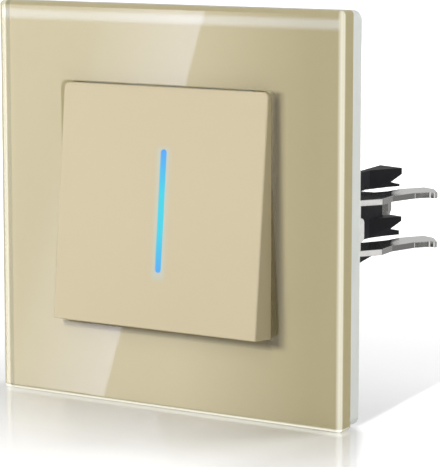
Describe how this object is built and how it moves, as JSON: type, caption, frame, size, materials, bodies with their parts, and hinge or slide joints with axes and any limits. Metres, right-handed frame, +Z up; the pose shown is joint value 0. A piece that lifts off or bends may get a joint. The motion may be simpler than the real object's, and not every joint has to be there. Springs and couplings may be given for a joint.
{
  "type": "rocker light switch",
  "caption": "Square glass-fronted wall light switch with a tilted rocker, a lit indicator bar and spreading claws that grip a wall box.",
  "frame": {"origin": "centre of the switch on the wall plane, midway between the yoke's two fixing slots, at the back of the plate", "axes": "+X to the right and +Z up as seen from the room, +Y into the wall; the front faces -Y"},
  "size_m": [0.086, 0.0545, 0.086],
  "materials": {
    "clear_glass": "polished clear float glass with rounded polished edges",
    "gold_lacquer": "champagne gold lacquer fired on the back of the glass",
    "white_plastic": "milky white satin plastic",
    "champagne_plastic": "champagne painted plastic, fine satin",
    "light_guide": "clear light guide, lit cyan to blue",
    "carrier_plastic": "natural white moulded plastic",
    "spring_steel": "drawn spring steel wire and bright pin steel",
    "zinc_steel": "zinc plated steel",
    "black_plastic": "black moulded plastic, light satin",
    "board_laminate": "green glass-fibre board",
    "led_resin": "blue light-emitting chips in clear resin",
    "resistor_ceramic": "chip resistors",
    "contact_brass": "rolled brass strip",
    "contact_silver": "silver alloy contact rivet",
    "nickel_steel": "bright nickel plated sheet steel"
  },
  "bodies": {
    "housing": {"glass_panel": "clear_glass", "gold_lacquer": "gold_lacquer", "plate_frame": "white_plastic", "support_yoke": "zinc_steel", "mechanism_body": "black_plastic", "rear_cover": "black_plastic", "mechanism_cover": "black_plastic", "housing_screws": "zinc_steel", "led_board": "board_laminate", "leds": "led_resin", "led_resistors": "resistor_ceramic", "common_terminal": "contact_brass", "upper_switched_terminal": "contact_brass", "lower_switched_terminal": "contact_brass", "fixed_contact_tips": "contact_silver", "terminal_blocks": "contact_brass", "terminal_screws": "zinc_steel", "claw_pin_right": "spring_steel", "claw_spring_right": "spring_steel", "claw_guide_right": "black_plastic", "claw_pin_left": "spring_steel", "claw_spring_left": "spring_steel", "claw_guide_left": "black_plastic"},
    "rocker": {"rocker": "champagne_plastic", "light_bar": "light_guide", "rocker_carrier": "carrier_plastic", "plunger": "carrier_plastic", "plunger_spring": "spring_steel"},
    "contact_seesaw": {"contact_seesaw": "contact_brass", "moving_contact_tips": "contact_silver"},
    "claw_right": {"claw_right": "nickel_steel"},
    "claw_screw_right": {"claw_screw_right": "zinc_steel"},
    "claw_left": {"claw_left": "nickel_steel"},
    "claw_screw_left": {"claw_screw_left": "zinc_steel"}
  },
  "joints": [
    {"name": "rocker_hinge", "type": "hinge", "parent": "housing", "child": "rocker", "pos_m": [0, -0.00523, 0], "axis": [1, 0, 0], "range_deg": [0, 11.2]},
    {"name": "contact_seesaw_hinge", "type": "hinge", "parent": "housing", "child": "contact_seesaw", "pos_m": [0, 0.0084, 0], "axis": [1, 0, 0], "range_deg": [-12, 0]},
    {"name": "claw_screw_right_turn", "type": "hinge", "parent": "housing", "child": "claw_screw_right", "pos_m": [0.031, 0, -0.0042], "axis": [0, -1, 0], "range_deg": [0, 1602]},
    {"name": "claw_right_hinge", "type": "hinge", "parent": "housing", "child": "claw_right", "pos_m": [0.026, 0.01, -0.0042], "axis": [0, 0, 1], "range_deg": [0, 26.7]},
    {"name": "claw_screw_left_turn", "type": "hinge", "parent": "housing", "child": "claw_screw_left", "pos_m": [-0.031, 0, -0.0042], "axis": [0, -1, 0], "range_deg": [0, 1602]},
    {"name": "claw_left_hinge", "type": "hinge", "parent": "housing", "child": "claw_left", "pos_m": [-0.026, 0.01, -0.0042], "axis": [0, 0, -1], "range_deg": [0, 26.7]}
  ],
  "couplings": [
    {"joint": "contact_seesaw_hinge", "follows": "rocker_hinge", "ratio": -1.0714},
    {"joint": "claw_right_hinge", "follows": "claw_screw_right_turn", "ratio": 0.016667},
    {"joint": "claw_left_hinge", "follows": "claw_screw_left_turn", "ratio": 0.016667}
  ]
}
